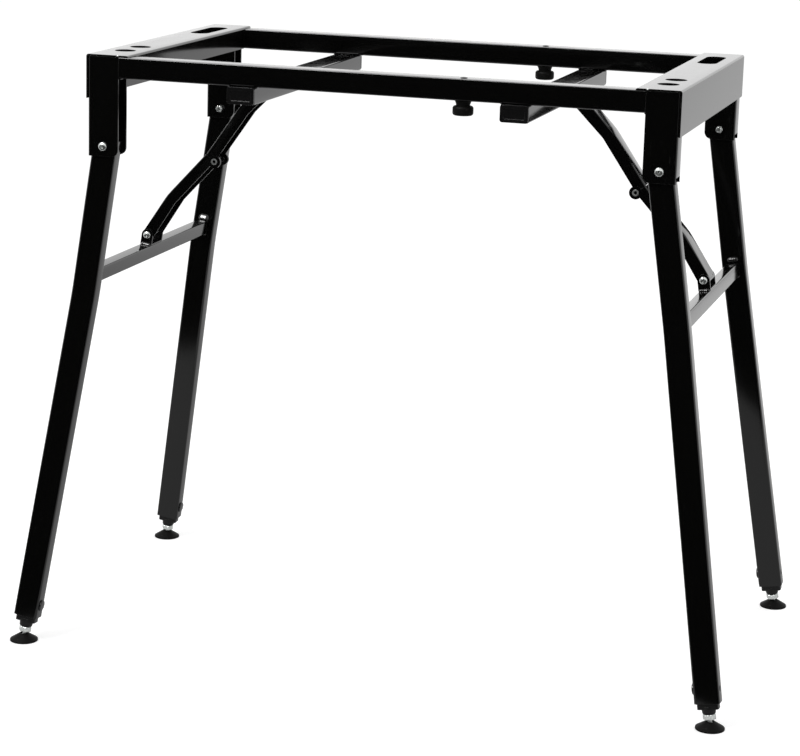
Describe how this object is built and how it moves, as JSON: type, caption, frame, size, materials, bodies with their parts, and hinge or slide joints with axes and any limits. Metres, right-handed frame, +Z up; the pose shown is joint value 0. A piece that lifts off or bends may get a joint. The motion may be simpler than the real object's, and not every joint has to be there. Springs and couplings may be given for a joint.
{
  "type": "keyboard stand",
  "caption": "folding table-style keyboard stand: rectangular steel frame on splayed tube legs that fold inward on self-locking braces, with levelling feet",
  "frame": {"origin": "on the floor, under the middle of the frame", "axes": "+X along the frame to the right as seen from the front, -Y towards the front rail, +Z up"},
  "size_m": [0.8922, 0.5192, 0.7252],
  "materials": {
    "black_paint": "semi-gloss black powder coat",
    "black_plastic": "moulded black, fine matt",
    "black_rubber": "matt black rubber",
    "bright_zinc": "bright zinc-plated steel"
  },
  "bodies": {
    "frame": {"front_bumper": "black_rubber", "front_bumper_screw": "black_paint", "front_rail": "black_paint", "left_brace_top_bolt": "bright_zinc", "left_brace_top_clevis": "black_paint", "left_cross_bar": "black_paint", "left_cross_bar_front_cap": "black_plastic", "left_cross_bar_rear_cap": "black_plastic", "left_end_piece": "black_paint", "left_front_corner_bracket": "black_paint", "left_front_pivot_bolt": "bright_zinc", "left_rear_corner_bracket": "black_paint", "left_rear_pivot_bolt": "bright_zinc", "rear_bumper": "black_rubber", "rear_bumper_screw": "black_paint", "rear_rail": "black_paint", "right_brace_top_bolt": "bright_zinc", "right_brace_top_clevis": "black_paint", "right_cross_bar": "black_paint", "right_cross_bar_front_cap": "black_plastic", "right_cross_bar_rear_cap": "black_plastic", "right_end_piece": "black_paint", "right_front_corner_bracket": "black_paint", "right_front_pivot_bolt": "bright_zinc", "right_rear_corner_bracket": "black_paint", "right_rear_pivot_bolt": "bright_zinc"},
    "left_legs": {"left_brace_foot_bolt": "bright_zinc", "left_brace_foot_clevis": "black_paint", "left_front_leg": "black_paint", "left_front_leg_plug": "black_plastic", "left_front_plug_rivet": "black_paint", "left_leg_bar": "black_paint", "left_rear_leg": "black_paint", "left_rear_leg_plug": "black_plastic", "left_rear_plug_rivet": "black_paint"},
    "left_upper_link": {"left_upper_link": "black_paint"},
    "left_lower_link": {"left_lower_link": "black_paint", "left_knee_front_rivet": "bright_zinc", "left_knee_rear_rivet": "bright_zinc"},
    "left_front_foot_stud": {"left_front_foot_stud": "bright_zinc"},
    "left_front_foot_pad": {"left_front_foot_pad": "black_rubber"},
    "left_rear_foot_stud": {"left_rear_foot_stud": "bright_zinc"},
    "left_rear_foot_pad": {"left_rear_foot_pad": "black_rubber"},
    "right_legs": {"right_brace_foot_bolt": "bright_zinc", "right_brace_foot_clevis": "black_paint", "right_front_leg": "black_paint", "right_front_leg_plug": "black_plastic", "right_front_plug_rivet": "black_paint", "right_leg_bar": "black_paint", "right_rear_leg": "black_paint", "right_rear_leg_plug": "black_plastic", "right_rear_plug_rivet": "black_paint"},
    "right_upper_link": {"right_upper_link": "black_paint"},
    "right_lower_link": {"right_lower_link": "black_paint", "right_knee_front_rivet": "bright_zinc", "right_knee_rear_rivet": "bright_zinc"},
    "right_front_foot_stud": {"right_front_foot_stud": "bright_zinc"},
    "right_front_foot_pad": {"right_front_foot_pad": "black_rubber"},
    "right_rear_foot_stud": {"right_rear_foot_stud": "bright_zinc"},
    "right_rear_foot_pad": {"right_rear_foot_pad": "black_rubber"}
  },
  "joints": [
    {"name": "left_legs_fold", "type": "hinge", "parent": "frame", "child": "left_legs", "pos_m": [-0.3337, 0, 0.6166], "axis": [0, -1, 0], "range_deg": [0, 100.8]},
    {"name": "left_upper_link_turn", "type": "hinge", "parent": "frame", "child": "left_upper_link", "pos_m": [-0.1888, 0, 0.6844], "axis": [0, -1, 0], "range_deg": [-44.9, 0]},
    {"name": "left_lower_link_turn", "type": "hinge", "parent": "left_legs", "child": "left_lower_link", "pos_m": [-0.35447, 0, 0.47764], "axis": [0, -1, 0], "range_deg": [0, 13.3]},
    {"name": "left_front_foot_level", "type": "slide", "parent": "left_legs", "child": "left_front_foot_stud", "axis": [-0.1472, -0.0941, -0.9846], "range_m": [0, 0.012]},
    {"name": "left_front_pad_swivel", "type": "hinge", "parent": "left_front_foot_stud", "child": "left_front_foot_pad", "pos_m": [-0.42498, -0.24008, 0.00585], "axis": [0, 1, 0], "range_deg": [-8, 8]},
    {"name": "left_rear_foot_level", "type": "slide", "parent": "left_legs", "child": "left_rear_foot_stud", "axis": [-0.1472, 0.0941, -0.9846], "range_m": [0, 0.012]},
    {"name": "left_rear_pad_swivel", "type": "hinge", "parent": "left_rear_foot_stud", "child": "left_rear_foot_pad", "pos_m": [-0.42498, 0.24008, 0.00585], "axis": [0, 1, 0], "range_deg": [-8, 8]},
    {"name": "right_legs_fold", "type": "hinge", "parent": "frame", "child": "right_legs", "pos_m": [0.3335, 0, 0.6333], "axis": [0, 1, 0], "range_deg": [0, 105.9]},
    {"name": "right_upper_link_turn", "type": "hinge", "parent": "frame", "child": "right_upper_link", "pos_m": [0.1922, 0, 0.6844], "axis": [0, 1, 0], "range_deg": [-21.8, 0]},
    {"name": "right_lower_link_turn", "type": "hinge", "parent": "right_legs", "child": "right_lower_link", "pos_m": [0.3577, 0, 0.47787], "axis": [0, 1, 0], "range_deg": [0, 43.3]},
    {"name": "right_front_foot_level", "type": "slide", "parent": "right_legs", "child": "right_front_foot_stud", "axis": [0.1532, -0.0941, -0.9837], "range_m": [0, 0.012]},
    {"name": "right_front_pad_swivel", "type": "hinge", "parent": "right_front_foot_stud", "child": "right_front_foot_pad", "pos_m": [0.43119, -0.24163, 0.00585], "axis": [0, 1, 0], "range_deg": [-8, 8]},
    {"name": "right_rear_foot_level", "type": "slide", "parent": "right_legs", "child": "right_rear_foot_stud", "axis": [0.1532, 0.0941, -0.9837], "range_m": [0, 0.012]},
    {"name": "right_rear_pad_swivel", "type": "hinge", "parent": "right_rear_foot_stud", "child": "right_rear_foot_pad", "pos_m": [0.43119, 0.24163, 0.00585], "axis": [0, 1, 0], "range_deg": [-8, 8]}
  ],
  "couplings": [
    {"joint": "left_upper_link_turn", "follows": "left_legs_fold", "ratio": -0.44444},
    {"joint": "left_lower_link_turn", "follows": "left_legs_fold", "ratio": 0.12998},
    {"joint": "right_upper_link_turn", "follows": "right_legs_fold", "ratio": -0.20445},
    {"joint": "right_lower_link_turn", "follows": "right_legs_fold", "ratio": 0.40719}
  ]
}
